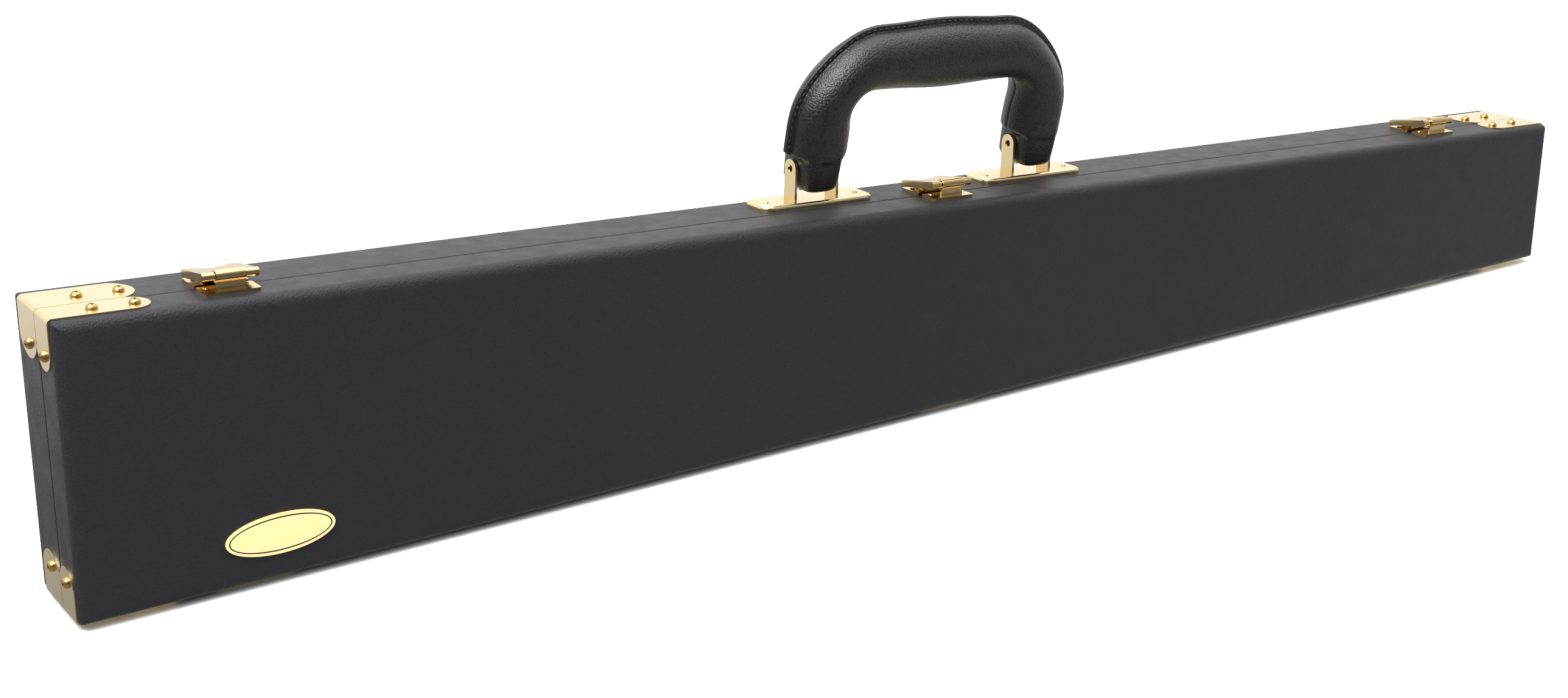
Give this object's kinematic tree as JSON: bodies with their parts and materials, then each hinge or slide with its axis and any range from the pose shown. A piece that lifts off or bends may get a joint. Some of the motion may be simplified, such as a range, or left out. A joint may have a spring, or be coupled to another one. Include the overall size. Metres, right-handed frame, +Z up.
{
  "type": "instrument bow case",
  "caption": "Slim tapered hard case for instrument bows, with a padded carrying handle, flip latches, corner plates, a hinged lid and a lined inside with pockets for the bows.",
  "frame": {"origin": "centre of the bounding box in X and Y, on the ground under the four lowest screw heads in Z", "axes": "+X along the case from its tall end to its low end, -Y the way the lid faces, +Z up"},
  "size_m": [0.8063, 0.0504, 0.1773],
  "materials": {
    "case_covering": "grained satin",
    "board": "plain",
    "lining": "velvet",
    "brass": "polished",
    "pin_steel": "plain",
    "handle_leather": "smooth satin"
  },
  "bodies": {
    "base": {"base_covering": "case_covering", "base_panel": "board", "base_side_top": "board", "base_side_bottom": "board", "base_end_left": "board", "base_end_right": "board", "base_lining": "lining", "corner_plate_base_top_left": "brass", "corner_plate_base_top_right": "brass", "corner_plate_base_bottom_left": "brass", "corner_plate_base_bottom_right": "brass", "corner_screws_base": "brass", "hinge_leaf_base_left": "brass", "hinge_leaf_base_middle": "brass", "hinge_leaf_base_right": "brass", "hinge_screws_base": "brass", "plate_rivets_base": "brass", "latch_strike_left": "brass", "latch_strike_middle": "brass", "latch_strike_right": "brass", "hinge_pins": "pin_steel", "handle_plate_left": "brass", "handle_plate_right": "brass", "handle_pins": "brass", "frog_block": "lining", "tip_block": "lining", "stick_rest_left": "lining", "stick_rest_right": "lining", "button_posts": "brass"},
    "lid": {"lid_covering": "case_covering", "lid_panel": "board", "lid_side_top": "board", "lid_side_bottom": "board", "lid_end_left": "board", "lid_end_right": "board", "lid_lining": "lining", "corner_plate_lid_top_left": "brass", "corner_plate_lid_top_right": "brass", "corner_plate_lid_bottom_left": "brass", "corner_plate_lid_bottom_right": "brass", "corner_screws_lid": "brass", "hinge_leaf_lid_left": "brass", "hinge_leaf_lid_middle": "brass", "hinge_leaf_lid_right": "brass", "hinge_screws_lid": "brass", "plate_rivets_lid": "brass", "latch_catch_left": "brass", "latch_catch_middle": "brass", "latch_catch_right": "brass", "latch_pins": "pin_steel", "nameplate": "brass"},
    "lever_left": {"latch_lever_left": "brass"},
    "lever_middle": {"latch_lever_middle": "brass"},
    "lever_right": {"latch_lever_right": "brass"},
    "handle": {"handle_core": "brass", "handle_grip": "handle_leather"},
    "button_left": {"turn_button_left": "brass"},
    "button_right": {"turn_button_right": "brass"}
  },
  "joints": [
    {"name": "lid_hinge", "type": "hinge", "parent": "base", "child": "lid", "pos_m": [0, -0.00425, 0.0018], "axis": [1, 0, 0], "range_deg": [0, 140]},
    {"name": "latch_left_flip", "type": "hinge", "parent": "lid", "child": "lever_left", "pos_m": [-0.32963, -0.01215, 0.1206], "axis": [0.9987, 0, -0.0518], "range_deg": [0, 120]},
    {"name": "latch_middle_flip", "type": "hinge", "parent": "lid", "child": "lever_middle", "pos_m": [0.00305, -0.01215, 0.10333], "axis": [0.9987, 0, -0.0518], "range_deg": [0, 120]},
    {"name": "latch_right_flip", "type": "hinge", "parent": "lid", "child": "lever_right", "pos_m": [0.32426, -0.01215, 0.08666], "axis": [0.9987, 0, -0.0518], "range_deg": [0, 120]},
    {"name": "handle_swing", "type": "hinge", "parent": "base", "child": "handle", "pos_m": [0.00208, 0.00705, 0.1135], "axis": [0.9987, 0, -0.0518], "range_deg": [-98, 82]},
    {"name": "button_left_turn", "type": "hinge", "parent": "base", "child": "button_left", "pos_m": [-0.19993, 0.00415, 0.05495], "axis": [0, 1, 0], "range_deg": [0, 90]},
    {"name": "button_right_turn", "type": "hinge", "parent": "base", "child": "button_right", "pos_m": [0.19993, 0.00415, 0.04457], "axis": [0, 1, 0], "range_deg": [0, 90]}
  ]
}
